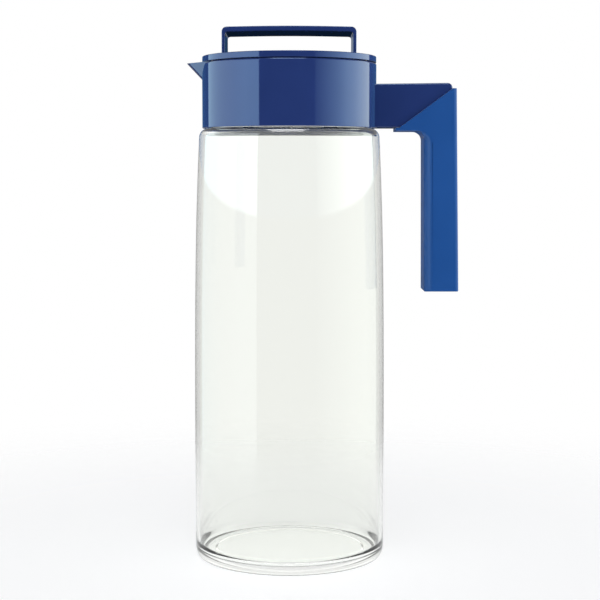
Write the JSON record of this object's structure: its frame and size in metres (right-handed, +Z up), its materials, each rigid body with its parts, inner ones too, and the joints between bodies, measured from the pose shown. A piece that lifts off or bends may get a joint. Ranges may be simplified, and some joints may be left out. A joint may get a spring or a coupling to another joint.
{
  "type": "pitcher",
  "caption": "Clear straight-sided pitcher with a collar that carries the pouring lip and side handle, a soft grip, and a round strap lid that turns and lifts off.",
  "frame": {"origin": "on the jug's axis, at the level of the surface that the jug stands on", "axes": "+Z up along the jug's axis, +X towards the handle, so the pouring lip points to -X, and +Y to the left of someone who faces the handle side from behind"},
  "size_m": [0.1616, 0.1144, 0.3171],
  "materials": {
    "clear": "clear polished plastic",
    "navy": "glossy moulded plastic, navy",
    "grip": "satin soft-touch rubber, mid blue",
    "seal": "translucent white silicone"
  },
  "bodies": {
    "pitcher": {"jug": "clear", "neck_gasket": "seal", "collar": "navy", "grip_sleeve": "grip"},
    "lid_ring": {"lid_seal": "seal"},
    "lid": {"lid_plug": "navy", "lid_cap": "navy", "lid_strap": "navy"}
  },
  "joints": [
    {"name": "lid_lift", "type": "slide", "parent": "pitcher", "child": "lid_ring", "axis": [0, 0, 1], "range_m": [0, 0.04]},
    {"name": "lid_turn", "type": "hinge", "parent": "lid_ring", "child": "lid", "pos_m": [0, 0, 0.2988], "axis": [0, 0, 1], "range_deg": [0, 90]}
  ]
}
